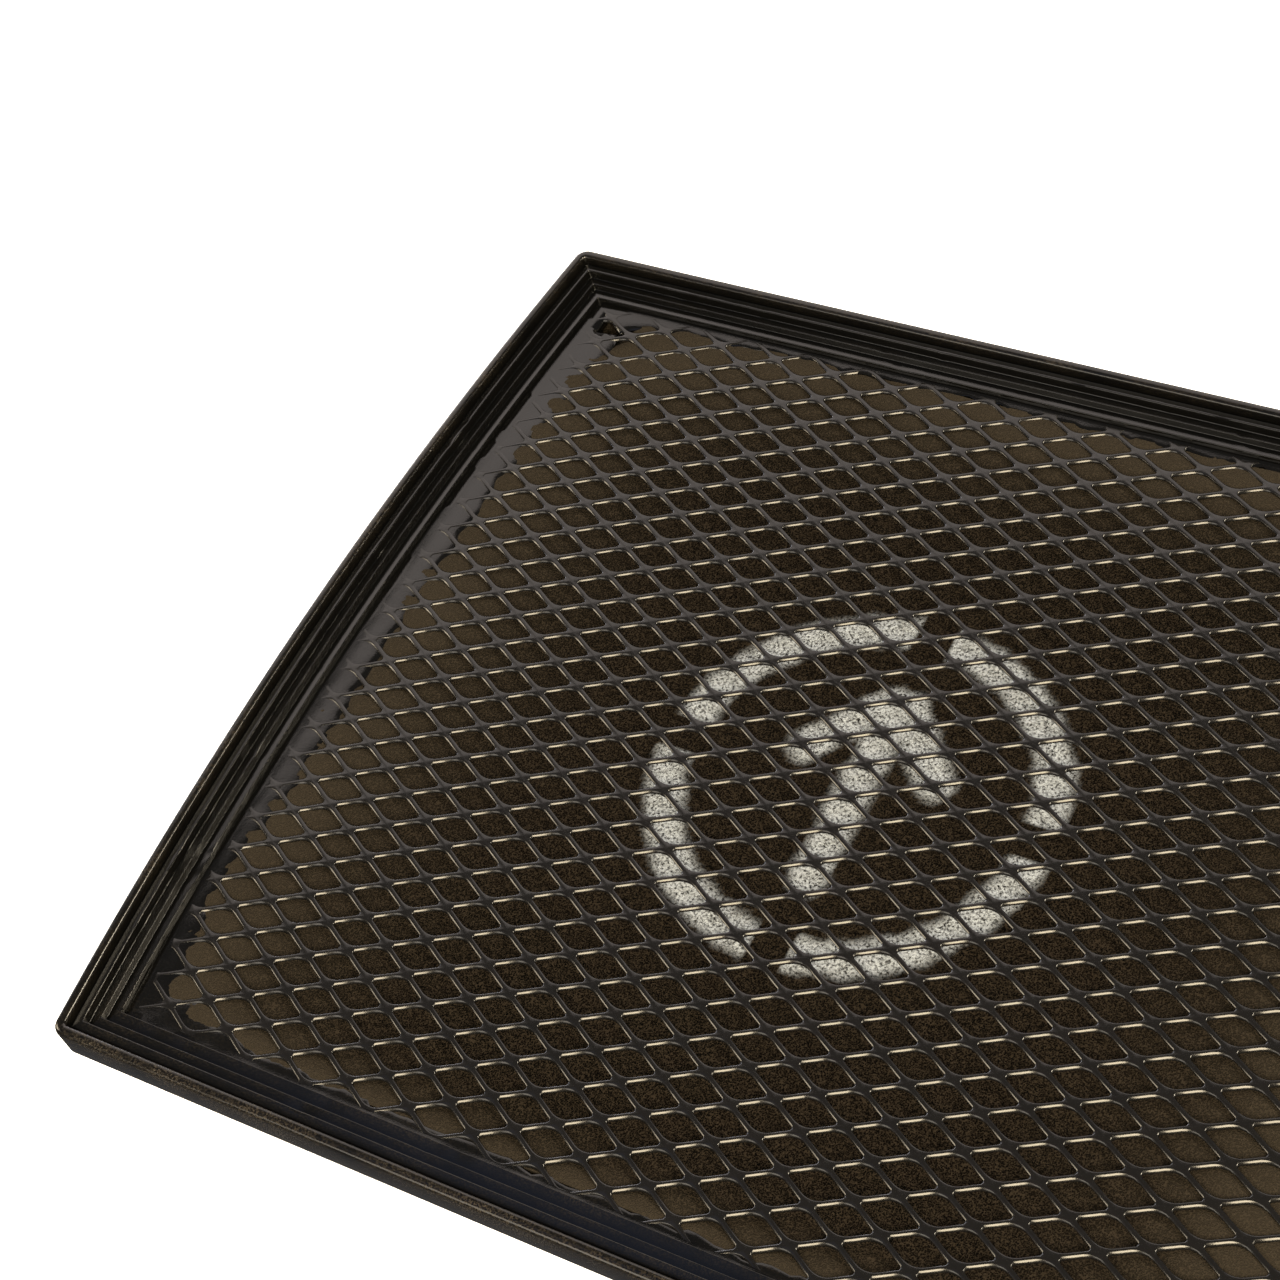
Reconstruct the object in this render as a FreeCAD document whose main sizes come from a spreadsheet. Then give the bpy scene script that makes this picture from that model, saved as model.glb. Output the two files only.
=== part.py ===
import FreeCAD, Part

# Panel air filter for a car engine's air box, in millimetres, +Z up.
#
# The origin is the middle of the underside. +X runs along the longer side.
# The clean side, with the metal support mesh, faces up. The dirty side, bare foam, faces down.
#
# Five pieces are moulded together and never move:
#   sealing_frame   soft polyurethane rim, cast round the edges of everything else
#   support_mesh    flattened expanded steel sheet that keeps the foam out of the intake
#   foam_fine, foam_medium, foam_coarse   the three bonded foam layers, from clean to dirty side

import math
import os

import Sketcher


# ---------------------------------------------------------------- driving dimensions

doc = FreeCAD.newDocument("panel_air_filter")
sheet = doc.addObject("Spreadsheet::Sheet", "Sizes")

SIZES = [
    # alias, value, what it is
    ("flange_length", 209.4, "flange, corner to corner along X"),
    ("flange_width", 189.6, "flange, corner to corner along Y"),
    ("side_bow", 5.3, "how far the middle of each short side stands out past its corners"),
    ("total_height", 21.0, "underside to the top of the lip"),
    ("flange_depth", 7.0, "height of the flange's outer face"),
    ("body_inset", 4.4, "flange overhang past the body below it"),
    ("corner_radius", 2.6, "flange corner, in plan"),
    ("lip_round", 0.6, "rounding of the lip's two top edges"),
    ("groove_outer", 2.0, "inset of the outer edge of the groove behind the lip"),
    ("groove_inner", 2.5, "inset of the inner edge of that groove"),
    ("groove_drop", 2.2, "groove floor below the lip"),
    ("bead_drop", 1.4, "second bead below the lip"),
    ("bead_inner", 4.1, "inset of the second bead's inner edge"),
    ("bead_round", 0.5, "rounding of the second bead"),
    ("upper_step_drop", 2.6, "upper step below the lip"),
    ("upper_step_inner", 6.3, "inset of the upper step's inner edge"),
    ("lower_step_drop", 3.3, "lower step below the lip"),
    ("lower_step_inner", 8.8, "inset of the lower step's inner edge"),
    ("floor_drop", 4.6, "floor of the recess, and the mesh's top, below the lip"),
    ("mesh_inset", 9.8, "inset of the mesh's cut edge"),
    ("mesh_clearance", 0.1, "gap round the mesh in its rebate"),
    ("foam_inset", 11.0, "inset of the foam's edge"),
    ("mesh_thickness", 0.9, "flattened sheet"),
    ("mesh_border", 0.8, "least solid margin between an opening and the cut edge"),
    ("mesh_long_pitch", 12.5, "long way of the mesh, opening to opening"),
    ("mesh_short_pitch", 6.94, "short way of the mesh, opening to opening"),
    ("strand_width", 1.15, "width of one strand"),
    ("opening_round", 1.5, "rounding of an opening's wide corners"),
    ("foam_recess", 1.0, "foam's dirty face above the frame's underside"),
    ("fine_thickness", 3.0, "fine foam layer"),
    ("medium_thickness", 4.0, "medium foam layer"),
]

for row, (alias, value, meaning) in enumerate(SIZES, start=1):
    sheet.set("A%d" % row, meaning)
    sheet.set("B%d" % row, str(value))
    sheet.setAlias("B%d" % row, alias)
doc.recompute()


def size(alias):
    """The value of one driving dimension, as a plain number."""
    return float(getattr(sheet, alias))


# ---------------------------------------------------------------- the bowed outline

# Every outline of the filter is the flange's own, moved inwards by an inset: two straight
# long sides, and two short sides that are arcs about the same two centres.
ARC_RADIUS = "((Sizes.flange_width / 2) ^ 2 + Sizes.side_bow ^ 2) / (2 * Sizes.side_bow)"
ARC_CENTRE = "(%s - Sizes.flange_length / 2 - Sizes.side_bow)" % ARC_RADIUS


def outline_numbers(inset):
    """Half width, arc radius, arc centre distance and corner X of the outline at an inset."""
    half_width = size("flange_width") / 2 - inset
    full_radius = ((size("flange_width") / 2) ** 2 + size("side_bow") ** 2) / (2 * size("side_bow"))
    centre = full_radius - size("flange_length") / 2 - size("side_bow")
    radius = full_radius - inset
    corner_x = math.sqrt(radius ** 2 - half_width ** 2) - centre
    return half_width, radius, centre, corner_x


def add_outline(sketch, inset_expression, inset, name):
    """Draw one closed outline in a sketch and bind it to the sheet."""
    half_width, radius, centre, corner_x = outline_numbers(inset)
    vector = FreeCAD.Vector
    up = vector(0, 0, 1)
    half_angle = math.asin(half_width / radius)
    far = sketch.addGeometry(Part.LineSegment(vector(-corner_x, half_width, 0), vector(corner_x, half_width, 0)))
    near = sketch.addGeometry(Part.LineSegment(vector(-corner_x, -half_width, 0), vector(corner_x, -half_width, 0)))
    right_circle = Part.Circle(vector(-centre, 0, 0), up, radius)
    left_circle = Part.Circle(vector(centre, 0, 0), up, radius)
    right = sketch.addGeometry(Part.ArcOfCircle(right_circle, -half_angle, half_angle))
    left = sketch.addGeometry(Part.ArcOfCircle(left_circle, math.pi - half_angle, math.pi + half_angle))
    start, end, middle, root, x_axis = 1, 2, 3, -1, -1
    joins = [(far, end, right, end), (near, end, right, start), (far, start, left, start), (near, start, left, end)]
    for first, first_point, second, second_point in joins:
        sketch.addConstraint(Sketcher.Constraint("Coincident", first, first_point, second, second_point))
    sketch.addConstraint(Sketcher.Constraint("Horizontal", far))
    sketch.addConstraint(Sketcher.Constraint("Horizontal", near))
    sketch.addConstraint(Sketcher.Constraint("PointOnObject", right, middle, x_axis))
    sketch.addConstraint(Sketcher.Constraint("PointOnObject", left, middle, x_axis))
    half_width_rule = "Sizes.flange_width / 2 - (%s)" % inset_expression
    radius_rule = "%s - (%s)" % (ARC_RADIUS, inset_expression)
    rules = [
        ("far_y", Sketcher.Constraint("DistanceY", root, start, far, start, half_width), half_width_rule),
        ("near_y", Sketcher.Constraint("DistanceY", near, start, root, start, half_width), half_width_rule),
        ("right_radius", Sketcher.Constraint("Radius", right, radius), radius_rule),
        ("left_radius", Sketcher.Constraint("Radius", left, radius), radius_rule),
        ("right_centre", Sketcher.Constraint("DistanceX", right, middle, root, start, centre), ARC_CENTRE),
        ("left_centre", Sketcher.Constraint("DistanceX", root, start, left, middle, centre), ARC_CENTRE),
    ]
    for label, constraint, rule in rules:
        index = sketch.addConstraint(constraint)
        sketch.renameConstraint(index, "%s_%s" % (name, label))
        sketch.setExpression("Constraints.%s_%s" % (name, label), rule)


# ---------------------------------------------------------------- feature helpers

def new_body(label):
    """An empty PartDesign body for one sub-part."""
    body = doc.addObject("PartDesign::Body", label)
    body.Label = label
    body.Placement = FreeCAD.Placement()
    return body


def level_sketch(body, name, level_expression, insets):
    """A sketch on the body's XY plane, raised to a level, with one outline per inset."""
    sketch = body.newObject("Sketcher::SketchObject", name)
    plane = [part for part in body.Origin.OriginFeatures if part.Role == "XY_Plane"][0]
    sketch.AttachmentSupport = (plane, "")
    sketch.MapMode = "FlatFace"
    sketch.setExpression("AttachmentOffset.Base.z", level_expression)
    for number, (expression, value) in enumerate(insets):
        add_outline(sketch, expression, value, "ring%d" % number)
    doc.recompute()
    return sketch


def inset_of(alias):
    """An inset taken straight from the sheet, as an expression and a number."""
    return ("Sizes.%s" % alias, size(alias))


def pad(body, name, level, insets, height):
    """Raise outlines from a level by a height."""
    sketch = level_sketch(body, name + "_sketch", level, insets)
    feature = body.newObject("PartDesign::Pad", name)
    feature.Profile = sketch
    feature.setExpression("Length", height)
    doc.recompute()
    return feature


def pocket(body, name, level, insets, depth):
    """Cut outlines down from a level by a depth, and check that it cuts."""
    before = body.Shape.Volume
    sketch = level_sketch(body, name + "_sketch", level, insets)
    feature = body.newObject("PartDesign::Pocket", name)
    feature.Profile = sketch
    feature.setExpression("Length", depth)
    doc.recompute()
    if not body.Shape.Volume < before - 1.0:
        raise RuntimeError("%s cut nothing" % name)
    return feature


def round_edges(body, name, wanted, radius_alias):
    """Fillet the edges of the body's tip that a test picks."""
    base = body.Tip
    names = []
    for number, edge in enumerate(base.Shape.Edges, start=1):
        if wanted(edge.BoundBox):
            names.append("Edge%d" % number)
    feature = body.newObject("PartDesign::Fillet", name)
    feature.Base = (base, names)
    feature.setExpression("Radius", "Sizes.%s" % radius_alias)
    doc.recompute()
    print("  %s rounds %d edges" % (name, len(names)))
    return feature


# ---------------------------------------------------------------- sealing frame

TOP = "Sizes.total_height"
FLUSH = ("0", 0.0)


def at_height(box, height):
    """True for a level edge at one height."""
    return abs(box.ZMin - height) < 0.01 and abs(box.ZMax - height) < 0.01


def make_sealing_frame():
    """Flange and body, stepped recess, mesh rebate and foam opening, then the rounded beads."""
    body = new_body("sealing_frame")
    flange_base = "Sizes.total_height - Sizes.flange_depth"
    pad(body, "flange", flange_base, [FLUSH], "Sizes.flange_depth")
    pad(body, "lower_wall", "0", [inset_of("body_inset")], flange_base)

    def is_flange_corner(box):
        upright = box.ZLength > size("flange_depth") - 0.1 and box.XLength < 0.1
        return upright and box.ZMin > 1.0

    round_edges(body, "flange_corners", is_flange_corner, "corner_radius")
    pocket(body, "bead_level", TOP, [inset_of("groove_outer")], "Sizes.bead_drop")
    groove = [inset_of("groove_outer"), inset_of("groove_inner")]
    pocket(body, "lip_groove", TOP, groove, "Sizes.groove_drop")
    pocket(body, "upper_step", TOP, [inset_of("bead_inner")], "Sizes.upper_step_drop")
    pocket(body, "lower_step", TOP, [inset_of("upper_step_inner")], "Sizes.lower_step_drop")
    pocket(body, "recess_floor", TOP, [inset_of("lower_step_inner")], "Sizes.floor_drop")
    rebate = ("Sizes.mesh_inset - Sizes.mesh_clearance", size("mesh_inset") - size("mesh_clearance"))
    pocket(body, "mesh_rebate", TOP, [rebate], "Sizes.floor_drop + Sizes.mesh_thickness")
    pocket(body, "foam_opening", TOP, [inset_of("foam_inset")], "Sizes.total_height")

    lip_level = size("total_height")
    bead_level = lip_level - size("bead_drop")
    round_edges(body, "lip_edges", lambda box: at_height(box, lip_level), "lip_round")
    round_edges(body, "bead_edges", lambda box: at_height(box, bead_level), "bead_round")
    return body


# ---------------------------------------------------------------- foam layers

def make_foam_layer(label, underside, thickness):
    """One bonded foam layer, a plain pad of the foam outline."""
    body = new_body(label)
    pad(body, label + "_sheet", underside, [inset_of("foam_inset")], thickness)
    return body


# ---------------------------------------------------------------- support mesh

def outline_wire(inset, level):
    """The bowed outline as a wire at a level."""
    half_width, radius, centre, corner_x = outline_numbers(inset)
    vector = FreeCAD.Vector
    reach = radius - centre
    far_left = vector(-corner_x, half_width, level)
    far_right = vector(corner_x, half_width, level)
    near_left = vector(-corner_x, -half_width, level)
    near_right = vector(corner_x, -half_width, level)
    edges = [
        Part.LineSegment(far_left, far_right).toShape(),
        Part.Arc(far_right, vector(reach, 0, level), near_right).toShape(),
        Part.LineSegment(near_right, near_left).toShape(),
        Part.Arc(near_left, vector(-reach, 0, level), far_left).toShape(),
    ]
    return Part.Wire(edges)


def opening_size():
    """Half length and half height of an opening before its wide corners are rounded."""
    half_long = size("mesh_long_pitch") / 2
    half_short = size("mesh_short_pitch") / 2
    centre_to_strand = half_long * half_short / math.hypot(half_long, half_short)
    shrink = 1 - size("strand_width") / 2 / centre_to_strand
    return half_long * shrink, half_short * shrink


def opening_wire(centre_x, centre_y, level):
    """A diamond opening: sharp at its two long ends, rounded at its two wide corners."""
    half_length, half_height = opening_size()
    vector = FreeCAD.Vector
    slope = math.atan2(half_height, half_length)
    radius = size("opening_round")
    arc_centre = half_height - radius / math.cos(slope)
    touch_x = radius * math.sin(slope)
    touch_y = arc_centre + radius * math.cos(slope)
    crown = arc_centre + radius

    def place(x, y):
        return vector(centre_x + x, centre_y + y, level)

    edges = [
        Part.LineSegment(place(-half_length, 0), place(-touch_x, touch_y)).toShape(),
        Part.Arc(place(-touch_x, touch_y), place(0, crown), place(touch_x, touch_y)).toShape(),
        Part.LineSegment(place(touch_x, touch_y), place(half_length, 0)).toShape(),
        Part.LineSegment(place(half_length, 0), place(touch_x, -touch_y)).toShape(),
        Part.Arc(place(touch_x, -touch_y), place(0, -crown), place(-touch_x, -touch_y)).toShape(),
        Part.LineSegment(place(-touch_x, -touch_y), place(-half_length, 0)).toShape(),
    ]
    return Part.Wire(edges)


def opening_fits(centre_x, centre_y):
    """True when an opening lies wholly inside the sheet's solid margin."""
    half_length, half_height = opening_size()
    inset = size("mesh_inset") + size("mesh_border")
    half_width, radius, centre, corner_x = outline_numbers(inset)
    reach_x = abs(centre_x) + half_length
    side_ok = math.hypot(reach_x + centre, centre_y) < radius
    return side_ok and abs(centre_y) + half_height < half_width


def make_support_mesh():
    """Sheet with every whole opening of the diamond pattern cut through it."""
    top = size("total_height") - size("floor_drop")
    underside = top - size("mesh_thickness")
    half_long = size("mesh_long_pitch") / 2
    half_short = size("mesh_short_pitch") / 2
    columns = int(size("flange_length") / half_long / 2) + 1
    rows = int(size("flange_width") / half_short / 2) + 1
    wires = [outline_wire(size("mesh_inset"), underside)]
    for column in range(-columns, columns + 1):
        for line in range(-rows, rows + 1):
            staggered = (column + line) % 2 == 0
            if staggered and opening_fits(column * half_long, line * half_short):
                wires.append(opening_wire(column * half_long, line * half_short, underside))
    print("  support_mesh has %d openings" % (len(wires) - 1))
    face = Part.makeFace(wires, "Part::FaceMakerBullseye")
    mesh = doc.addObject("Part::Feature", "support_mesh")
    mesh.Label = "support_mesh"
    mesh.Shape = face.extrude(FreeCAD.Vector(0, 0, size("mesh_thickness")))
    mesh.Placement = FreeCAD.Placement()
    return mesh


# ---------------------------------------------------------------- build, check, write

foam_top = "(Sizes.total_height - Sizes.floor_drop - Sizes.mesh_thickness)"
fine_base = "(%s - Sizes.fine_thickness)" % foam_top
medium_base = "(%s - Sizes.medium_thickness)" % fine_base

parts = [
    make_sealing_frame(),
    make_support_mesh(),
    make_foam_layer("foam_fine", fine_base, "Sizes.fine_thickness"),
    make_foam_layer("foam_medium", medium_base, "Sizes.medium_thickness"),
    make_foam_layer("foam_coarse", "Sizes.foam_recess", "%s - Sizes.foam_recess" % medium_base),
]
doc.recompute()

for item in doc.Objects:
    if "Invalid" in item.State or "Error" in item.State:
        raise RuntimeError("%s failed: %s" % (item.Label, item.State))
for part in parts:
    if part.Shape.isNull() or not part.Shape.isValid():
        raise RuntimeError("%s has no valid shape" % part.Label)

os.makedirs("parts", exist_ok=True)
for part in parts:
    box = part.Shape.BoundBox
    print("%-14s %7.2f x %7.2f x %6.2f mm, z %5.2f to %5.2f, %9.1f mm3" % (
        part.Label, box.XLength, box.YLength, box.ZLength, box.ZMin, box.ZMax, part.Shape.Volume))
    part.Shape.exportStep("parts/%s.step" % part.Label)
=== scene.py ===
# %% [markdown]
# # A panel air filter, looks and studio
# The working model of the filter comes in first, as a fixed frame of five plain solids: a soft
# sealing frame, a metal support mesh, and three foam layers. Everything made below sits exactly
# where those solids sit, so no size is guessed twice.

# %% Load the working model
import math

import bpy
from mathutils import Matrix, Vector, noise


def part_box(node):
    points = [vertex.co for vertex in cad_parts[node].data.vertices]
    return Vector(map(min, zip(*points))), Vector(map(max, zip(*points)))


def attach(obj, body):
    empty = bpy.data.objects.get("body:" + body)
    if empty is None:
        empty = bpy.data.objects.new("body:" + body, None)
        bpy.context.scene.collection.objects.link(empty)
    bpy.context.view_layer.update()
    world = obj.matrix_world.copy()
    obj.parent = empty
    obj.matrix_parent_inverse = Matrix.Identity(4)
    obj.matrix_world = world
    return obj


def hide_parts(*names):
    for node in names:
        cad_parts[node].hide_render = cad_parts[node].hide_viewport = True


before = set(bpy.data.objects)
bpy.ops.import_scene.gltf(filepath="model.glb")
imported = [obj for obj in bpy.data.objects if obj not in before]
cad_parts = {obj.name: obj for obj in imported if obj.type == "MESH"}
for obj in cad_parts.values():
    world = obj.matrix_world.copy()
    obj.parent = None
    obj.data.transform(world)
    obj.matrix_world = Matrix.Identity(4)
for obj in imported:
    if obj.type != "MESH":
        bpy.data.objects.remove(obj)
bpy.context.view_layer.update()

MM = 0.001

# %% [markdown]
# The frame's own box gives the driving sizes. The two short sides of a filter like this one are
# not straight: they bow outwards, so that the soft rim is squeezed evenly in the air box. All
# outlines are the flange's own, moved inwards by an inset, so one formula serves every ring.

# %% Driving sizes, in metres
frame_low, frame_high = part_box("sealing_frame")
mesh_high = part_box("support_mesh")[1]
LIP_Z = frame_high.z
FLOOR_Z = mesh_high.z
HALF_WIDTH = frame_high.y
HALF_REACH = frame_high.x
SIDE_BOW = 5.3 * MM
ARC_RADIUS = (HALF_WIDTH ** 2 + SIDE_BOW ** 2) / (2 * SIDE_BOW)
ARC_CENTRE = ARC_RADIUS - HALF_REACH
CORNER_ROUND = 2.6 * MM
SHARP_ROUND = 0.25 * MM
print("half reach %.1f mm, half width %.1f mm, arc radius %.0f mm" % (
    HALF_REACH / MM, HALF_WIDTH / MM, ARC_RADIUS / MM))


# %% One outline at any inset
SIDE_POINTS = 118
CORNER_POINTS = 7


def spread(first, last, count):
    """Evenly spaced values from first up to, and without, last."""
    return [first + (last - first) * step / count for step in range(count)]


def quarter_outline(inset):
    """The corner of the outline at an inset: its centre, its radius, and where the bowed side ends."""
    radius = max(SHARP_ROUND, CORNER_ROUND - inset)
    centre_y = HALF_WIDTH - inset - radius
    centre_x = math.sqrt((ARC_RADIUS - inset - radius) ** 2 - centre_y ** 2) - ARC_CENTRE
    lean = math.atan2(centre_y, centre_x + ARC_CENTRE)
    return centre_x, centre_y, radius, lean


def rim_outline(inset):
    """Points of the outline at an inset, anticlockwise, always the same number of them."""
    centre_x, centre_y, radius, lean = quarter_outline(inset)
    big = ARC_RADIUS - inset
    points = []
    for mirror in (1, -1):
        for angle in spread(-lean, lean, SIDE_POINTS):
            x = big * math.cos(angle) - ARC_CENTRE
            points.append((mirror * x, mirror * big * math.sin(angle)))
        for angle in spread(lean, math.pi / 2, CORNER_POINTS):
            x = centre_x + radius * math.cos(angle)
            y = centre_y + radius * math.sin(angle)
            points.append((mirror * x, mirror * y))
        for x in spread(centre_x, -centre_x, SIDE_POINTS):
            points.append((mirror * x, mirror * (HALF_WIDTH - inset)))
        for angle in spread(math.pi / 2, math.pi - lean, CORNER_POINTS):
            x = -centre_x + radius * math.cos(angle)
            y = centre_y + radius * math.sin(angle)
            points.append((mirror * x, mirror * y))
    return points


print("points in one ring:", len(rim_outline(0)))


# %% [markdown]
# Small helpers that a modeller reaches for again and again: start from nothing selected, go in
# and out of edit mode, and finish a piece with its normals outwards and its edges smooth.

# %% Working helpers
DOUBLE_GAP = 0.004 * MM


def fresh_start():
    """Leave edit mode and deselect everything, so that an operator acts on the new piece only."""
    if bpy.context.mode != "OBJECT":
        bpy.ops.object.mode_set(mode="OBJECT")
    bpy.ops.object.select_all(action="DESELECT")


def name_piece(name):
    """Name the primitive that was just added."""
    piece = bpy.context.active_object
    piece.name = name
    piece.data.name = name
    return piece


def pick(piece):
    """Select one piece alone, and make it the active one."""
    fresh_start()
    piece.select_set(True)
    bpy.context.view_layer.objects.active = piece


def settle(piece):
    """Put the piece's place into its mesh, so that its object sits unturned at the origin."""
    pick(piece)
    bpy.ops.object.transform_apply(location=True, rotation=True, scale=True)


def outward_and_smooth(piece, angle):
    """Merge doubles, turn every face outwards, and shade smooth up to an angle in degrees."""
    pick(piece)
    bpy.ops.object.mode_set(mode="EDIT")
    bpy.ops.mesh.select_all(action="SELECT")
    bpy.ops.mesh.remove_doubles(threshold=DOUBLE_GAP)
    bpy.ops.mesh.normals_make_consistent(inside=False)
    bpy.ops.object.mode_set(mode="OBJECT")
    bpy.ops.object.shade_smooth_by_angle(angle=math.radians(angle))
    print("%s: %d faces" % (piece.name, len(piece.data.polygons)))


# %% [markdown]
# The sealing frame is cast in one shot: liquid polyurethane is poured round the edges of the
# foam and the mesh, and sets to a soft, slightly shiny rubber. The mould leaves a lip, a thin
# groove, a bead and two shallow steps before the recess. Each step leans outwards and ends in a
# thin crest, which is what catches the light. A section swept round the outline could be a curve
# with a bevel, but then the corner mitres can't be held sharp, so here a ring of edges is drawn
# once and extruded from one point of the section to the next.

# %% The section of the sealing frame
BODY_INSET = 4.4
FLANGE_DROP = 7.0
BASE_DROP = (LIP_Z - frame_low.z) / MM
FLOOR_DROP = (LIP_Z - FLOOR_Z) / MM
FOAM_INSET = 11.0
WIDE_ROUND = 0.3

# Each corner of the section: inset, drop below the lip and rounding, in mm, and how dusty it is.
SECTION = [
    (FOAM_INSET + 0.3, BASE_DROP, 0.4, 0.1),
    (BODY_INSET, BASE_DROP, 0.9, 0.3),
    (BODY_INSET, FLANGE_DROP, 0.6, 0.3),
    (0.15, FLANGE_DROP, 0.5, 0.7),
    (0.0, 0.0, 0.85, 1.0),
    (2.0, 0.05, 0.6, 0.8),
    (2.12, 2.3, 0.1, 0.0),
    (2.45, 2.3, 0.1, 0.0),
    (2.55, 1.75, 0.25, 0.1),
    (4.2, 1.25, 0.2, 0.35),
    (4.3, 3.3, 0.15, 0.0),
    (6.3, 2.5, 0.14, 0.4),
    (6.45, 4.0, 0.12, 0.0),
    (8.75, 3.25, 0.14, 0.4),
    (8.9, FLOOR_DROP - 0.05, 0.15, 0.05),
]


def rounded_section(corners):
    """The section with its corners rounded by arcs: a list of inset, drop and dust."""
    rounded = [corners[0][:2] + corners[0][3:]]
    for before, corner, after in zip(corners, corners[1:], corners[2:]):
        here = Vector(corner[:2])
        radius, dust = corner[2:]
        back = (Vector(before[:2]) - here).normalized()
        ahead = (Vector(after[:2]) - here).normalized()
        half_turn = back.angle(ahead) / 2
        reach = radius / math.tan(half_turn)
        centre = here + (back + ahead).normalized() * radius / math.sin(half_turn)
        start = here + back * reach - centre
        end = here + ahead * reach - centre
        steps = 4 if radius > WIDE_ROUND else 3
        for step in range(steps + 1):
            spoke = start.slerp(end, step / steps) * radius
            rounded.append((centre.x + spoke.x, centre.y + spoke.y, dust))
    rounded.append(corners[-1][:2] + corners[-1][3:])
    return rounded


section = rounded_section(SECTION)
print("points in the section:", len(section))


# %% [markdown]
# Where the rubber runs out over the mesh it makes flash: a thin ragged skin, wide along the left
# side and in the corners, where the foam lets the liquid through, and narrow elsewhere. It clings
# to the mesh, which the foam crowns, so the mesh's rise comes first. Towards its edge the skin
# sinks below the metal, so the strands stand out of it.

# %% The rise of the mesh, and how far the flash runs in over it
CROWN = 1.7
CROWN_END_X = 99
CROWN_END_Y = 87


def crown_at(x, y):
    """Height of the mesh above its cut edge, in mm, at a place in mm."""
    across = min(1.0, abs(x) / CROWN_END_X)
    along = min(1.0, abs(y) / CROWN_END_Y)
    return CROWN * (1 - along ** 4) * (1 - across ** 6)


def ramp(value, start, end):
    """0 up to the start, 1 from the end, and straight between."""
    return max(0.0, min(1.0, (value - start) / (end - start)))


def noise_at(x, y, layer, size_mm):
    """Smooth noise from -1 to 1 at a place in metres, with blobs about a size in mm across."""
    return noise.noise(Vector((x, y, layer)) / (size_mm * MM))


# How far the flash runs in, in mm: plain, at its least, and more at the sides and in the corners.
FLASH_PLAIN = 1.9
FLASH_LEAST = 0.5
FLASH_SIDE = 5.4
FLASH_CORNER = 4.4
FLASH_NEAR_LEFT = 7.4
CORNER_SPREAD = 27
SIDE_ZONE = (92, 98)


def flash_width(x, y):
    """Width of the flash beyond the recess wall, in mm, at a place on the outline in metres."""
    to_corner = math.hypot(HALF_REACH - abs(x), HALF_WIDTH - abs(y)) / MM
    left_side = ramp(-x / MM, *SIDE_ZONE) * ramp(y / MM, -62, -40)
    right_side = 0.4 * ramp(x / MM, *SIDE_ZONE)
    at_side = FLASH_SIDE * max(left_side, right_side)
    corner_reach = FLASH_NEAR_LEFT if x < 0 and y < 0 else FLASH_CORNER
    at_corner = corner_reach * math.exp(-(to_corner / CORNER_SPREAD) ** 2)
    ragged = 1.3 * noise_at(x, y, 0, 5) + 0.9 * noise_at(x, y, 9, 2.2)
    return max(FLASH_LEAST, FLASH_PLAIN + (at_corner + at_side) + ragged)


# The crests that can be nicked lie between two insets and above a drop, in mm.
STEPS_OUTER = 3.5
STEPS_INNER = 9.0
CREST_DROP = 3.5
SAG = 0.14
NICK_ABOVE = 0.42
NICK_DEPTH = 0.9


def rim_waver(x, y, inset, drop):
    """How far the hand-poured rim sags at a place, in mm. Its crests are nicked here and there."""
    if drop > FLANGE_DROP - 0.5:
        return 0.0
    nick = 0.0
    if STEPS_OUTER < inset < STEPS_INNER and drop < CREST_DROP:
        nick = max(0.0, noise_at(x, y, 20, 2.6) - NICK_ABOVE)
    return SAG * noise_at(x, y, 0, 45) + NICK_DEPTH * nick


def ring_at(inset, drop):
    """One ring of points at an inset and a drop below the lip, both in mm."""
    ring = []
    for x, y in rim_outline(inset * MM):
        ring.append(Vector((x, y, LIP_Z - (drop + rim_waver(x, y, inset, drop)) * MM)))
    return ring


FLASH_START = 9.0
FLASH_REACH = 10.0


def flash_ring(share, lift):
    """A ring at a share of the flash's width, at a lift in mm above the crowned mesh."""
    ring = []
    outer = rim_outline(FLASH_START * MM)
    inner = rim_outline((FLASH_START + FLASH_REACH) * MM)
    for (x, y), (inner_x, inner_y) in zip(outer, inner):
        run = flash_width(x, y) * share / FLASH_REACH
        place_x = x + (inner_x - x) * run
        place_y = y + (inner_y - y) * run
        rise = crown_at(place_x / MM, place_y / MM) + lift
        rise += 0.05 * noise_at(place_x, place_y, 4, 3)
        ring.append(Vector((place_x, place_y, FLOOR_Z + rise * MM)))
    return ring


# %% Extrude a ring of edges from one outline to the next
def extrude_rings(name, rings):
    """A skin of quads through rings of equal length, drawn as one circle and extruded."""
    fresh_start()
    bpy.ops.mesh.primitive_circle_add(vertices=len(rings[0]), radius=1.0, fill_type="NOTHING")
    piece = name_piece(name)
    for vertex, place in zip(piece.data.vertices, rings[0]):
        vertex.co = place
    for old_ring, new_ring in zip(rings, rings[1:]):
        bpy.ops.object.mode_set(mode="EDIT")
        bpy.ops.mesh.extrude_region_move()
        bpy.ops.object.mode_set(mode="OBJECT")
        next_place = {tuple(old): new for old, new in zip(old_ring, new_ring)}
        for vertex in piece.data.vertices:
            if vertex.select:
                vertex.co = next_place[tuple(vertex.co)]
    return piece


def paint_attribute(piece, name, value_at):
    """Store one number per vertex, worked out from its place, for a material to read."""
    attribute = piece.data.attributes.new(name, "FLOAT", "POINT")
    attribute.data.foreach_set("value", [value_at(vertex.co) for vertex in piece.data.vertices])


# %% Cast the sealing frame
# Each ring of the flash: share of its width, lift above the mesh, and dust.
FLASH = [
    (0.0, 0.1, 0.2),
    (0.2, 0.0, 0.2),
    (0.4, -0.06, 0.2),
    (0.6, -0.1, 0.2),
    (0.8, -0.16, 0.25),
    (0.93, -0.26, 0.25),
    (1.0, -0.5, 0.2),
    (1.0, -1.2, 0.1),
]
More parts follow.
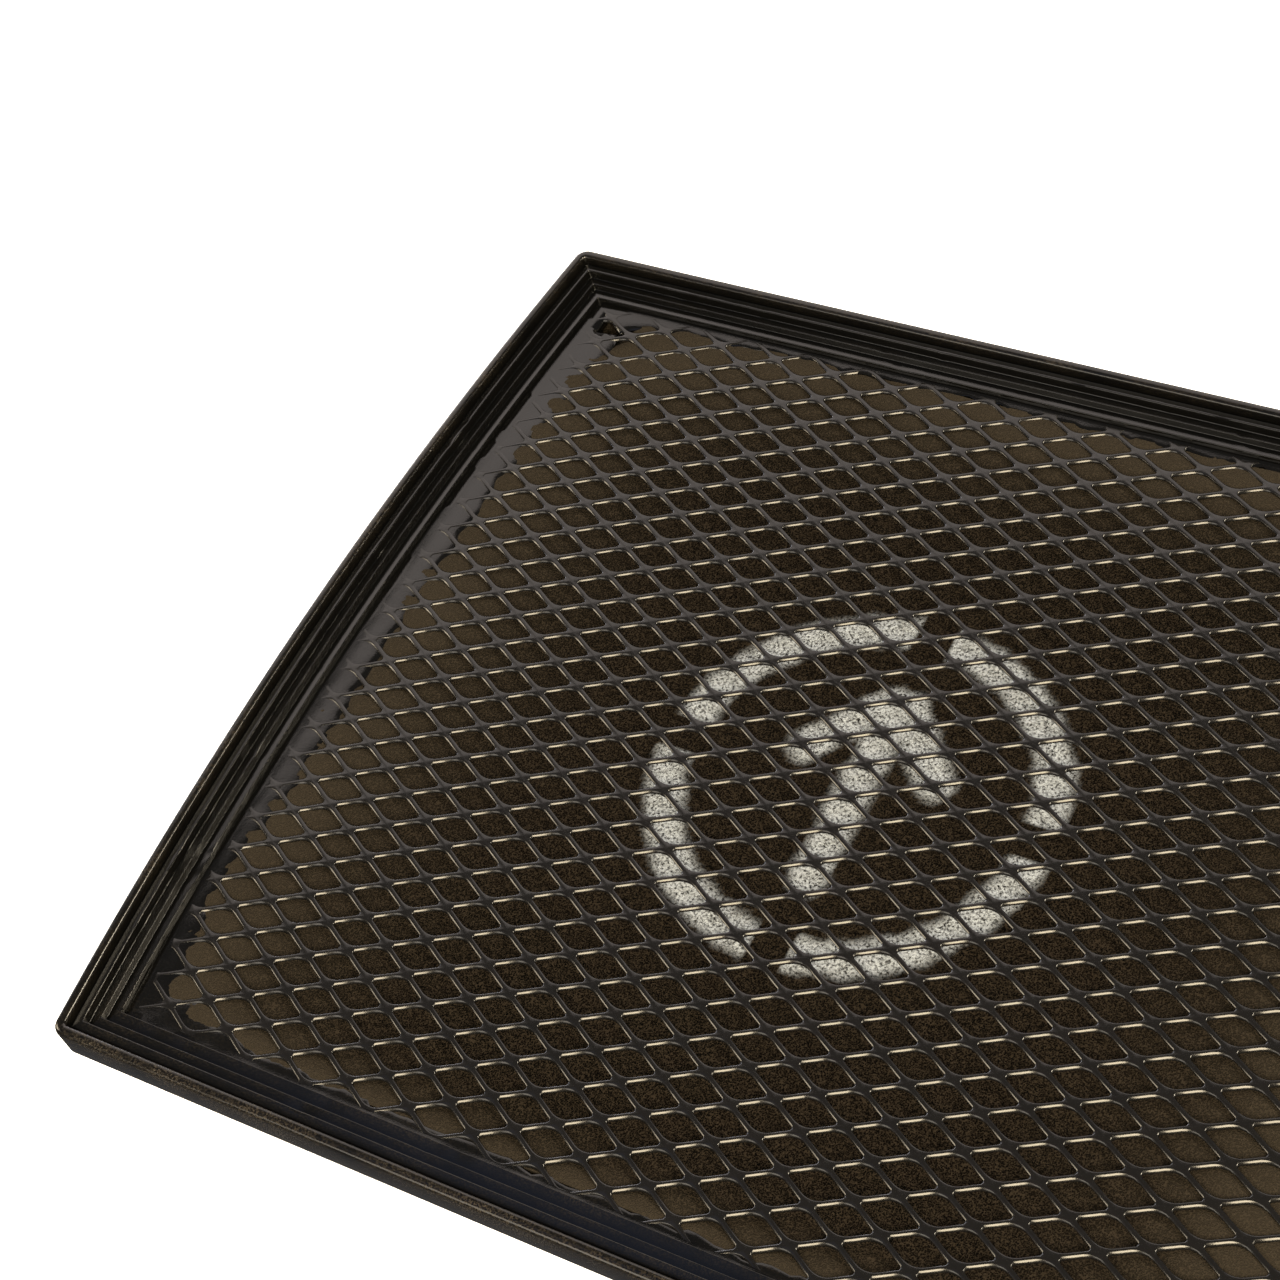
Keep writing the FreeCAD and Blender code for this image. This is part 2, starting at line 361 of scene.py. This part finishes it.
# The last ring tucks the skin down below the mesh, beside the foam.
TUCK_INSET = FOAM_INSET - 0.5
TUCK_DROP = FLOOR_DROP + 2.4
HIDDEN_DUST = 0.1
rings = [ring_at(inset, drop) for inset, drop, dust in section]
rings += [flash_ring(share, lift) for share, lift, dust in FLASH]
rings.append(ring_at(TUCK_INSET, TUCK_DROP))
dust_of_ring = [corner[-1] for corner in section + FLASH] + [HIDDEN_DUST]
dust_at = {tuple(place): dust for ring, dust in zip(rings, dust_of_ring) for place in ring}


def side_dust(place):
    """Dust of a point: its ring's, and more on the lip and on the near side, which is handled."""
    near = ramp(-place.y / MM, 60, 92)
    on_lip = ramp((place.z - LIP_Z) / MM, -1.0, -0.3)
    return dust_at.get(tuple(place), HIDDEN_DUST) * max(near, 0.25, 0.7 * on_lip)


sealing_rim = extrude_rings("sealing_rim", rings + rings[:1])
paint_attribute(sealing_rim, "dust", side_dust)
outward_and_smooth(sealing_rim, 38)

# %% [markdown]
# One accident of the mould is worth making: in the far left corner the skin stopped short and
# left a three-sided hole, through which the cut ends of the metal catch the light.

# %% The corner hole
HOLE = [(-93.6, 83.2), (-93.8, 78.4), (-87.8, 79.1)]
HOLE_MIDDLE = (-91.7, 80.2)
CUT_ABOVE = 2.0
CUT_BELOW = -2.6
fresh_start()
bpy.ops.mesh.primitive_cylinder_add(vertices=3, radius=1, depth=1)
cutter = name_piece("hole_cutter")
for vertex in cutter.data.vertices:
    corner_x, corner_y = HOLE[(vertex.index // 2) % 3]
    height = CUT_ABOVE if vertex.co.z > 0 else CUT_BELOW
    vertex.co = (corner_x * MM, corner_y * MM, FLOOR_Z + height * MM)
outward_and_smooth(cutter, 30)
boolean = sealing_rim.modifiers.new("corner_hole", "BOOLEAN")
boolean.operation = "DIFFERENCE"
boolean.solver = "EXACT"
boolean.object = cutter
pick(sealing_rim)
bpy.ops.object.modifier_apply(modifier=boolean.name)
pick(cutter)
bpy.ops.object.delete()
print("sealing rim:", len(sealing_rim.data.polygons), "faces")

# %% [markdown]
# The support mesh is expanded metal: a steel sheet is slit, pulled open into diamonds, rolled
# flat and dipped in black epoxy, which rounds every edge. It repeats eight hundred times, so
# only one tile is modelled, the diamond of metal round a single opening. It is drawn like the
# rim, as one ring extruded over the edge and down the wall, and then copied by three arrays.

# %% One tile of the expanded metal
# In mm. A side of the opening leans by SIDE_ANGLE from the long way. The sharp tips lie along it,
# and the blunt crowns across it.
LONG_PITCH = 12.334
SHORT_PITCH = 6.8455
SHEET = 0.8
SIDE_ANGLE = math.radians(29.5)
SHARP_TIP = 5.15
TIP_ROUND = 0.36
CROWN_ARC = 3.7
CROWN_REACH = SHARP_TIP * math.tan(SIDE_ANGLE) - CROWN_ARC * (1 / math.cos(SIDE_ANGLE) - 1)


def opening_ring(offset, drop, roll=0.0, sink=0.0):
    """Twenty points round an opening, moved out by an offset, at a drop below the sheet's top.

    The shear rolls one edge over more than the others: roll and sink are what it adds there.
    """
    tip_centre = SHARP_TIP - TIP_ROUND / math.sin(SIDE_ANGLE)
    crown_centre = CROWN_REACH - CROWN_ARC
    quarter = [(tip_centre, 0.0, TIP_ROUND, math.pi / 2), (tip_centre, 0.0, TIP_ROUND, SIDE_ANGLE)]
    for share in (1.0, 2 / 3, 1 / 3, 0.0):
        quarter.append((0.0, crown_centre, CROWN_ARC, SIDE_ANGLE * share))
    points = []
    signs = ((1, 1), (-1, 1), (-1, -1), (1, -1))
    for number, (sign_x, sign_y) in enumerate(signs):
        corner = quarter[:5] if number % 2 == 0 else quarter[:0:-1]
        for centre_x, centre_y, radius, angle in corner:
            out_x = sign_x * math.sin(angle)
            out_y = sign_y * math.cos(angle)
            rolled = max(0.0, out_y * math.cos(SIDE_ANGLE) - out_x * math.sin(SIDE_ANGLE)) ** 3
            reach = radius + offset + roll * rolled
            x = sign_x * centre_x + out_x * reach
            y = sign_y * centre_y + out_y * reach
            points.append(Vector((x * MM, y * MM, -(drop + sink * rolled) * MM)))
    return points


def tile_ring(drop):
    """Twenty points round the diamond tile's own edge, which its neighbours share."""
    half_x = LONG_PITCH / 2
    half_y = SHORT_PITCH / 2
    corners = [(half_x, 0.0), (0.0, half_y), (-half_x, 0.0), (0.0, -half_y)]
    points = []
    for (x, y), (next_x, next_y) in zip(corners, corners[1:] + corners[:1]):
        for share in (0.0, 0.2, 0.4, 0.6, 0.8):
            across = x + (next_x - x) * share
            along = y + (next_y - y) * share
            points.append(Vector((across * MM, along * MM, -drop * MM)))
    return points


tile_rings = [
    tile_ring(0.0),
    opening_ring(0.2, 0.0, roll=0.3),
    opening_ring(0.15, 0.02, roll=0.27),
    opening_ring(0.03, 0.11, roll=0.03, sink=0.23),
    opening_ring(0.0, 0.4, sink=0.15),
    tile_ring(SHEET),
]
support_grille = extrude_rings("support_grille", tile_rings)
print("faces in one tile:", len(support_grille.data.polygons))


# %% Copy the tile over the face of the filter
def array_piece(piece, count, step):
    """Copy a piece a number of times at a constant step. The doubles are merged later, all at once."""
    pick(piece)
    array = piece.modifiers.new("copies", "ARRAY")
    array.count = count
    array.use_relative_offset = False
    array.use_constant_offset = True
    array.constant_offset_displace = step
    array.use_merge_vertices = False
    bpy.ops.object.modifier_apply(modifier=array.name)


COLUMNS = 18
ROWS = 28
array_piece(support_grille, 2, (LONG_PITCH / 2 * MM, SHORT_PITCH / 2 * MM, 0.0))
array_piece(support_grille, COLUMNS, (LONG_PITCH * MM, 0.0, 0.0))
array_piece(support_grille, ROWS, (0.0, SHORT_PITCH * MM, 0.0))

# %% [markdown]
# The sheet went into the mould a hair out of square, and the foam under it pushes its middle up
# by almost two millimetres, so the flat pattern is leaned and then crowned by one formula.

# %% Square it up, crown it, and trim it inside the rubber
PATTERN_X = 1.14
PATTERN_Y = -0.915
LEAN_X = -0.01244
LEAN_Y = -0.01864
middle_column = (COLUMNS // 2) * LONG_PITCH
middle_row = (ROWS // 2) * SHORT_PITCH
for vertex in support_grille.data.vertices:
    flat_x = vertex.co.x / MM - middle_column
    flat_y = vertex.co.y / MM - middle_row
    x = flat_x + LEAN_X * flat_y + PATTERN_X
    y = flat_y + LEAN_Y * flat_x + PATTERN_Y
    vertex.co = (x * MM, y * MM, FLOOR_Z + crown_at(x, y) * MM + vertex.co.z)

# Each cut is a place on the cutting plane and the way out of it. The bowed sides take six each.
MESH_TRIM = 9.6 * MM
TRIM_CUTS = 6
MERGE_GAP = 0.01 * MM
trim_y = HALF_WIDTH - MESH_TRIM
trim_radius = ARC_RADIUS - MESH_TRIM
side_lean = math.asin(trim_y / trim_radius)
cuts = [((0, trim_y, 0), (0, 1, 0)), ((0, -trim_y, 0), (0, -1, 0))]
for cut in range(TRIM_CUTS):
    angle = side_lean * (2 * (cut + 0.5) / TRIM_CUTS - 1)
    for mirror in (1, -1):
        reach_x = trim_radius * math.cos(angle) - ARC_CENTRE
        place = (mirror * reach_x, trim_radius * math.sin(angle), 0)
        cuts.append((place, (mirror * math.cos(angle), math.sin(angle), 0)))
pick(support_grille)
bpy.ops.object.mode_set(mode="EDIT")
bpy.ops.mesh.select_all(action="SELECT")
bpy.ops.mesh.remove_doubles(threshold=MERGE_GAP)
for place, outwards in cuts:
    bpy.ops.mesh.select_all(action="SELECT")
    bpy.ops.mesh.bisect(plane_co=place, plane_no=outwards, use_fill=True, clear_outer=True)
bpy.ops.object.mode_set(mode="OBJECT")
outward_and_smooth(support_grille, 40)

# %% [markdown]
# Three sheets of reticulated foam are glued together, finest on the clean side. Near the rim
# the rubber clamps foam and mesh together, so the foam swells up through the openings there;
# in the middle it lies slack under the crowned mesh.

# %% A foam sheet between two outlines
def foam_outline_x(share, y, inset):
    """X on the bowed outline, as a share from -1 to 1 of its reach at this Y, in metres."""
    return share * (math.sqrt((ARC_RADIUS - inset) ** 2 - y ** 2) - ARC_CENTRE)


def foam_sheet(name, low_z, high_z, inset, pitch, relief, faces_down=False):
    """A closed foam sheet whose face is a fine grid with a relief height, in metres."""
    fresh_start()
    half_y = HALF_WIDTH - inset
    columns = int(2 * HALF_REACH / pitch)
    rows = int(2 * half_y / pitch)
    bpy.ops.mesh.primitive_grid_add(x_subdivisions=columns, y_subdivisions=rows, size=2)
    sheet = name_piece(name)
    face_z = low_z if faces_down else high_z
    back_z = high_z if faces_down else low_z
    for vertex in sheet.data.vertices:
        y = vertex.co.y * half_y
        x = foam_outline_x(vertex.co.x, y, inset)
        vertex.co = (x, y, face_z + relief(x / MM, y / MM) * MM)
    bpy.ops.object.mode_set(mode="EDIT")
    bpy.ops.mesh.select_all(action="SELECT")
    bpy.ops.mesh.region_to_loop()
    bpy.ops.mesh.extrude_region_move()
    bpy.ops.transform.translate(value=(0, 0, back_z - face_z))
    bpy.ops.transform.resize(value=(1, 1, 0), center_override=(0, 0, back_z))
    bpy.ops.mesh.edge_face_add()
    bpy.ops.object.mode_set(mode="OBJECT")
    return sheet


# %% The foam that swells through the openings
def opening_place(x, y):
    """Where a place in mm lies in its own tile: from -0.5 to 0.5 along each of its two sides."""
    flat_x = x - PATTERN_X
    flat_y = y - PATTERN_Y
    square_x = flat_x - LEAN_X * flat_y
    square_y = flat_y - LEAN_Y * flat_x
    first = square_x / LONG_PITCH + square_y / SHORT_PITCH
    second = square_x / LONG_PITCH - square_y / SHORT_PITCH
    return first - round(first), second - round(second)


# In mm: where the rim clamps the foam, how far in that is felt, and by how much the foam moves.
CLAMP_X = 100
CLAMP_Y = 86
SIDE_SPREAD = 26
FAR_SPREAD = 17
NEAR_SPREAD = 7
SLACK = 1.35
SWELL = 0.38
PILLOW = 0.32
HOLE_DENT = 2.4
DENT_SPREAD = 3.4
HOLE_CALM = 4.0


def hill(distance, spread_mm):
    """1 at no distance, falling away softly over a spread."""
    return math.exp(-(max(0.0, distance) / spread_mm) ** 2)


def from_hole(x, y):
    """Distance from the corner hole, in mm."""
    return math.hypot(x - HOLE_MIDDLE[0], y - HOLE_MIDDLE[1])


def swelling_at(x, y):
    """How strongly the foam swells, 0 in the slack middle and 1 beside the rim."""
    side = hill(CLAMP_X - abs(x), SIDE_SPREAD)
    end = hill(CLAMP_Y - abs(y), FAR_SPREAD if y > 0 else NEAR_SPREAD)
    patchy = 1 + 0.25 * noise.noise(Vector((x, y, 3)) / 14)
    return (1 - hill(from_hole(x, y), HOLE_CALM)) * max(0.0, min(1.0, patchy * (side + end)))


def clean_relief(x, y):
    """Height of the clean face over the flat mesh's underside, in mm."""
    first, second = opening_place(x, y)
    pillow = max(0.0, (1 - (2 * first) ** 2) * (1 - (2 * second) ** 2))
    swell = swelling_at(x, y)
    grit = 0.07 * noise.noise(Vector((x, y, 0)) / 0.9)
    dent = HOLE_DENT * hill(from_hole(x, y), DENT_SPREAD)
    rise = swell * (SWELL + PILLOW * pillow ** 0.5) - SLACK * (1 - swell)
    return crown_at(x, y) + rise + grit - dent


def flat_relief(x, y):
    """A plain cut face with only its cell grit, in mm."""
    return 0.12 * noise.noise(Vector((x, y, 0)) / 1.6)


# %% The clean foam
# Its face has a point every 0.85 mm, so that each opening's pillow has a round back.
GLUE = 0.02 * MM
CLEAN_PITCH = 0.85 * MM
HELD_IN_RIM = 0.4 * MM
fine_low, fine_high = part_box("foam_fine")
foam_inset = HALF_WIDTH - fine_high.y
sheet_underside = FLOOR_Z - SHEET * MM
clean_foam = foam_sheet(
    "clean_foam", fine_low.z + GLUE, sheet_underside, foam_inset - HELD_IN_RIM, CLEAN_PITCH, clean_relief)
# The swell also makes the foam paler in its material. This is partly dust and partly painted light for foam
# lifted out of the mesh's shade.
paint_attribute(clean_foam, "swell", lambda place: swelling_at(place.x / MM, place.y / MM))

# %% [markdown]
# The clean foam carries a mark sprayed through a stencil, before the mesh went on. Here it is a
# plain ring, broken where stencil bridges would hold it, round an arrow for the air's way.

# %% The sprayed airflow mark
# In mm, measured from the middle of the ring. STROKE is half of a stroke's width.
MARK_X = 0.9
MARK_Y = -1.5
RING_RADIUS = 33.0
STROKE = 3.1
BRIDGE = 3.4
OVERSPRAY = 1.8
ARROW = [((0, -19), (0, 14)), ((-12, 5), (-1.5, 18)), ((12, 5), (1.5, 18))]


def stroke_gap(x, y, start, end):
    """Distance from a place to a straight stroke between two places, in mm."""
    here = Vector((x, y))
    along = Vector(end) - Vector(start)
    share = max(0.0, min(1.0, (here - Vector(start)).dot(along) / along.length_squared))
    return (here - Vector(start) - along * share).length


def paint_at(x, y):
    """How much paint lies on the foam at a place in mm, 0 to 1, with a soft overspray edge."""
    mark_x = x - MARK_X
    mark_y = y - MARK_Y
    ring_gap = abs(math.hypot(mark_x, mark_y) - RING_RADIUS)
    gaps = [stroke_gap(mark_x, mark_y, start, end) for start, end in ARROW]
    if min(abs(mark_x), abs(mark_y)) >= BRIDGE:
        gaps.append(ring_gap)
    edge = min(gaps) - STROKE + 0.8 * noise.noise(Vector((x, y, 5)) / 3)
    return max(0.0, min(1.0, 0.5 - edge / OVERSPRAY))


paint_attribute(clean_foam, "paint", lambda place: paint_at(place.x / MM, place.y / MM))
outward_and_smooth(clean_foam, 60)

# %% The two layers below
# The middle one is hidden, so its grid is wide. The lowest one shows its grit underneath.
MIDDLE_PITCH = 6 * MM
DIRTY_PITCH = 1.1 * MM
medium_low, medium_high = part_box("foam_medium")
coarse_low, coarse_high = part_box("foam_coarse")
middle_foam = foam_sheet(
    "middle_foam", medium_low.z + GLUE, medium_high.z - GLUE, foam_inset, MIDDLE_PITCH, flat_relief)
outward_and_smooth(middle_foam, 60)
dirty_foam = foam_sheet(
    "dirty_foam", coarse_low.z, coarse_high.z - GLUE, foam_inset, DIRTY_PITCH, flat_relief, faces_down=True)
outward_and_smooth(dirty_foam, 60)

# %% [markdown]
# Materials next. Colours are written as the sRGB hex values that an eye would pick, and one
# function turns them to the linear numbers that the shader wants. One more adds a node.

# %% Colour and node helpers
def linear(hex_colour):
    """Linear RGBA of an sRGB hex colour."""
    channels = [int(hex_colour[start:start + 2], 16) / 255 for start in (1, 3, 5)]
    return [c / 12.92 if c <= 0.04045 else ((c + 0.055) / 1.055) ** 2.4 for c in channels] + [1.0]


def add_node(tree, kind, settings=None, links=None):
    """Add a node, set its own settings or its sockets' values, and link its inputs."""
    node = tree.nodes.new(kind)
    for name, value in (settings or {}).items():
        if hasattr(node, str(name)):
            setattr(node, name, value)
        else:
            node.inputs[name].default_value = value
    for name, source in (links or {}).items():
        tree.links.new(source, node.inputs[name])
    return node


# The sockets of a colour mix go by number: its two colours and its result.
COLOUR_A = 6
COLOUR_B = 7
MIXED = 2


def new_material(name):
    """An empty node material, and its tree to build in."""
    material = bpy.data.materials.new(name)
    material.use_nodes = True
    material.node_tree.nodes.clear()
    return material, material.node_tree


def speckle(tree, place, size_mm, detail=2.0, rough=0.5):
    """Noise whose blobs are a real size across, in millimetres."""
    settings = {"Scale": 1 / (2 * size_mm * MM), "Detail": detail, "Roughness": rough}
    return add_node(tree, "ShaderNodeTexNoise", settings, {"Vector": place})


def finish_surface(material, tree, shader):
    """Join the shader to the material's output."""
    add_node(tree, "ShaderNodeOutputMaterial", links={"Surface": shader.outputs["BSDF"]})
    return material


# %% Cast polyurethane rubber
# Black, satin, a little uneven from the mould, with pale release dust on the outer lip.
def cast_polyurethane():
    material, tree = new_material("cast_polyurethane_rubber")
    place = add_node(tree, "ShaderNodeTexCoord").outputs["Object"]
    dust = add_node(tree, "ShaderNodeAttribute", {"attribute_name": "dust"}).outputs["Fac"]
    grit = speckle(tree, place, 0.16, 3.0, 0.75)
    patches = speckle(tree, place, 6.0, 3.0)
    grains = add_node(tree, "ShaderNodeMapRange", {"From Min": 0.45, "From Max": 0.72},
                      {"Value": grit.outputs["Fac"]})
    cover = add_node(tree, "ShaderNodeMapRange", {"From Min": 0.3, "From Max": 0.7},
                     {"Value": patches.outputs["Fac"]})
    spread_dust = add_node(tree, "ShaderNodeMath", {"operation": "MULTIPLY"},
                           {0: grains.outputs[0], 1: cover.outputs[0]})
    dusty = add_node(tree, "ShaderNodeMath", {"operation": "MULTIPLY"},
                     {0: spread_dust.outputs[0], 1: dust})
    colour = add_node(tree, "ShaderNodeMix",
                      {"data_type": "RGBA", COLOUR_A: linear("#050505"), COLOUR_B: linear("#3f382d")},
                      {"Factor": dusty.outputs[0]})
    rough = add_node(tree, "ShaderNodeMapRange", {"To Min": 0.09, "To Max": 0.6},
                     {"Value": dusty.outputs[0]})
    bump = add_node(tree, "ShaderNodeBump", {"Strength": 0.35, "Distance": 0.06 * MM},
                    {"Height": grit.outputs["Fac"]})
    waves = add_node(tree, "ShaderNodeBump", {"Strength": 0.2, "Distance": 0.12 * MM},
                     {"Height": patches.outputs["Fac"], "Normal": bump.outputs["Normal"]})
    shader = add_node(tree, "ShaderNodeBsdfPrincipled", {"IOR": 1.5}, {
        "Base Color": colour.outputs[MIXED],
        "Roughness": rough.outputs[0],
        "Normal": waves.outputs["Normal"],
    })
    return finish_surface(material, tree, shader)


# %% Epoxy dip on expanded steel
# Black with a satin gloss, thick enough to round the metal's edges, faintly orange-peeled.
def epoxy_dip():
    material, tree = new_material("black_epoxy_on_expanded_steel")
    place = add_node(tree, "ShaderNodeTexCoord").outputs["Object"]
    peel = speckle(tree, place, 0.5, 2.0)
    patches = speckle(tree, place, 9.0, 2.0)
    colour = add_node(tree, "ShaderNodeMix",
                      {"data_type": "RGBA", COLOUR_A: linear("#090909"), COLOUR_B: linear("#0f0e0e")},
                      {"Factor": patches.outputs["Fac"]})
    rough = add_node(tree, "ShaderNodeMapRange", {"To Min": 0.17, "To Max": 0.28},
                     {"Value": peel.outputs["Fac"]})
    bump = add_node(tree, "ShaderNodeBump", {"Strength": 0.25, "Distance": 0.04 * MM},
                    {"Height": peel.outputs["Fac"]})
    shader = add_node(tree, "ShaderNodeBsdfPrincipled", {"IOR": 1.5}, {
        "Base Color": colour.outputs[MIXED],
        "Roughness": rough.outputs[0],
        "Normal": bump.outputs["Normal"],
    })
    return finish_surface(material, tree, shader)


# %% Reticulated foam
# Matt brown-black, all tiny dark cells between paler strands. Specular is almost nil, because
# the open cells trap what their skins would mirror.
FOAM_SHINE = 0.03


def dust_swell_light_and_spray(tree, skin, fuzz):
    """Paler grey where the foam swells up to the mesh, partly dust and partly painted light for foam raised
    out of the mesh's shade, then cool grey spray on the strands only.
    """
    swell = add_node(tree, "ShaderNodeAttribute", {"attribute_name": "swell"})
    # Painted light: the swelling foam is mixed towards a paler grey. This is partly dust and partly stands
    # for light on foam that rises out of the mesh's shade.
    dusty = add_node(tree, "ShaderNodeMath", {"operation": "MULTIPLY", 1: 0.75},
                     {0: swell.outputs["Fac"]})
    swell_light_and_dust = add_node(tree, "ShaderNodeMix", {"data_type": "RGBA", COLOUR_B: linear("#2a2620")},
                       {"Factor": dusty.outputs[0], COLOUR_A: skin.outputs[MIXED]})
    paint = add_node(tree, "ShaderNodeAttribute", {"attribute_name": "paint"})
    grain = add_node(tree, "ShaderNodeMapRange", {"From Min": 0.36, "From Max": 0.56},
                     {"Value": fuzz.outputs["Fac"]})
    cover = add_node(tree, "ShaderNodeMath", {"operation": "MULTIPLY"},
                     {0: paint.outputs["Fac"], 1: grain.outputs[0]})
    return add_node(tree, "ShaderNodeMix", {"data_type": "RGBA", COLOUR_B: linear("#989fa8")},
                    {"Factor": cover.outputs[0], COLOUR_A: swell_light_and_dust.outputs[MIXED]})


def reticulated_foam(name, dark, pale, cell_mm, painted):
    """Open-cell foam with cells of a size in mm. The painted kind also shows dust, painted light where it
    swells up to the mesh, and spray.
    """
    material, tree = new_material(name)
    place = add_node(tree, "ShaderNodeTexCoord").outputs["Object"]
    cells = add_node(tree, "ShaderNodeTexVoronoi", {"Scale": 1 / (cell_mm * MM), "Randomness": 1.0},
                     {"Vector": place})
    fuzz = speckle(tree, place, cell_mm * 0.9, 3.0, 0.7)
    wall = add_node(tree, "ShaderNodeMath", {"operation": "MULTIPLY"},
                    {0: cells.outputs["Distance"], 1: fuzz.outputs["Fac"]})
    strands = add_node(tree, "ShaderNodeMapRange", {"From Min": 0.14, "From Max": 0.38},
                       {"Value": wall.outputs[0]})
    skin = add_node(tree, "ShaderNodeMix",
                    {"data_type": "RGBA", COLOUR_A: linear(dark), COLOUR_B: linear(pale)},
                    {"Factor": strands.outputs[0]})
    if painted:
        skin = dust_swell_light_and_spray(tree, skin, fuzz)
    bump = add_node(tree, "ShaderNodeBump", {"Strength": 0.8, "Distance": cell_mm * 0.4 * MM},
                    {"Height": strands.outputs[0]})
    shader = add_node(tree, "ShaderNodeBsdfPrincipled",
                      {"Roughness": 0.95, "IOR": 1.45, "Specular IOR Level": FOAM_SHINE},
                      {"Base Color": skin.outputs[MIXED], "Normal": bump.outputs["Normal"]})
    return finish_surface(material, tree, shader)


# %% Dress the pieces and hang them on the frame
fine = reticulated_foam("fine_reticulated_foam", "#010101", "#25201a", 0.27, painted=True)
medium = reticulated_foam("medium_reticulated_foam", "#14110d", "#3b342b", 1.0, painted=False)
coarse = reticulated_foam("coarse_reticulated_foam", "#14120f", "#3d3830", 1.8, painted=False)
finishes = [
    (sealing_rim, cast_polyurethane(), "sealing_frame", "frame_rubber"),
    (support_grille, epoxy_dip(), "support_mesh", "mesh_coating"),
    (clean_foam, fine, "foam_fine", "foam_fine"),
    (middle_foam, medium, "foam_medium", "foam_medium"),
    (dirty_foam, coarse, "foam_coarse", "foam_coarse"),
]
for piece, material, node, slot_name in finishes:
    piece.data.materials.clear()
    piece.data.materials.append(material)
    settle(piece)
    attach(piece, "root")
    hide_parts(node)

# %% [markdown]
# The studio is a white acrylic table lit from below, so that no shadow falls. Every rounded edge
# of the black metal is a small mirror, so each light is one line of sparkle. A warm softbox at
# the front right draws the bright line along every opening, smaller ones at the left and behind
# to the right catch the other edges, and a dim one fills in from the front. The flat metal
# mirrors a pale backdrop behind, the left lip mirrors a low strip, and a weak cool light from
# above tints the near steps. The last light comes from behind through a polariser, so it
# brightens the matt foam and leaves no glint.

# %% Floor
FLOOR_SIZE = 6
FLOOR_GAP = 0.2 * MM
fresh_start()
bpy.ops.mesh.primitive_plane_add(size=FLOOR_SIZE, location=(0, 0, frame_low.z - FLOOR_GAP))
floor = name_piece("floor")
# Opal acrylic: a soft even white with no edge or reflection of its own.
floor_material, floor_tree = new_material("backlit_white_acrylic")
acrylic = add_node(floor_tree, "ShaderNodeBsdfPrincipled", {
    "Base Color": linear("#f4f4f4"),
    "Roughness": 0.9,
    "Emission Color": linear("#ffffff"),
    "Emission Strength": 0.9,
})
finish_surface(floor_material, floor_tree, acrylic)
floor.data.materials.append(floor_material)
floor.visible_glossy = False


# %% Lights
def softbox(name, azimuth, elevation, distance, width, height, radiance, colour):
    """An area light that faces the filter. Azimuth 0 is in front, along -Y, and 90 is along +X.

    Angles are in degrees, lengths in metres, and radiance is how bright its face looks.
    """
    fresh_start()
    across = math.radians(azimuth)
    up = math.radians(elevation)
    back = Vector((math.sin(across) * math.cos(up), -math.cos(across) * math.cos(up), math.sin(up)))
    target = Vector((0, 0, LIP_Z))
    bpy.ops.object.light_add(type="AREA", location=target + back * distance)
    light = bpy.context.active_object
    light.name = name
    light.rotation_euler = back.to_track_quat("Z", "Y").to_euler()
    light.data.shape = "RECTANGLE"
    light.data.size = width
    light.data.size_y = height
    light.data.energy = radiance * math.pi * width * height
    light.data.color = linear(colour)[:3]
    return light


softbox("front_softbox", 34, 40, 1.0, 0.62, 0.62, 23, "#ffecc8")
softbox("dim_front_fill", -20, 30, 1.0, 0.45, 0.5, 4, "#fff4e2")
softbox("left_softbox", -74, 24, 1.0, 0.3, 0.42, 11, "#ffeccc")
softbox("rear_right_softbox", 109, 40, 1.0, 0.2, 0.4, 36, "#fff0d4")
softbox("pale_backdrop", -150, 26, 1.2, 1.65, 1.05, 1.48, "#fff2ea")
softbox("horizon_strip", -117, 5, 1.2, 1.0, 0.2, 7, "#f4f4ff")
softbox("cool_overhead", -65, 66, 1.1, 0.5, 0.35, 0.25, "#a4c0ff")
rear_key = softbox("polarised_rear_key", -150, 52, 1.0, 0.5, 0.5, 9, "#fff2e0")
rear_key.visible_glossy = False
world = bpy.data.worlds.new("dim_surround")
bpy.context.scene.world = world
world.use_nodes = True
surround = world.node_tree.nodes["Background"]
surround.inputs["Color"].default_value = linear("#e9e9ee")
surround.inputs["Strength"].default_value = 0.12

# %% [markdown]
# The camera looks down from the front right, leaning a little, as if held by hand over the near
# right corner. Its axes are worked out from three angles, so that it can be aimed by numbers.

# %% Camera
AZIMUTH = 43.1
ELEVATION = 50.7
ROLL = 19.2
DISTANCE = 0.4696
AIM = Vector((-0.0465, 0.0111, LIP_Z))
LENS = 74.97
turn = math.radians(AZIMUTH)
rise = math.radians(ELEVATION)
back = Vector((math.sin(turn) * math.cos(rise), -math.cos(turn) * math.cos(rise), math.sin(rise)))
level_right = Vector((math.cos(turn), math.sin(turn), 0))
level_up = back.cross(level_right)
roll = math.radians(ROLL)
right = level_right * math.cos(roll) - level_up * math.sin(roll)
up = back.cross(right)
fresh_start()
bpy.ops.object.camera_add(location=AIM + back * DISTANCE)
camera = bpy.context.active_object
camera.name = "studio_camera"
camera.rotation_euler = Matrix((right, up, back)).transposed().to_euler()
camera.data.lens = LENS
camera.data.sensor_width = 36
camera.data.clip_start = 0.01
camera.data.dof.use_dof = False
bpy.context.scene.camera = camera
bpy.context.scene.view_settings.view_transform = "Standard"
print("camera at, m:", [round(value, 3) for value in camera.location])
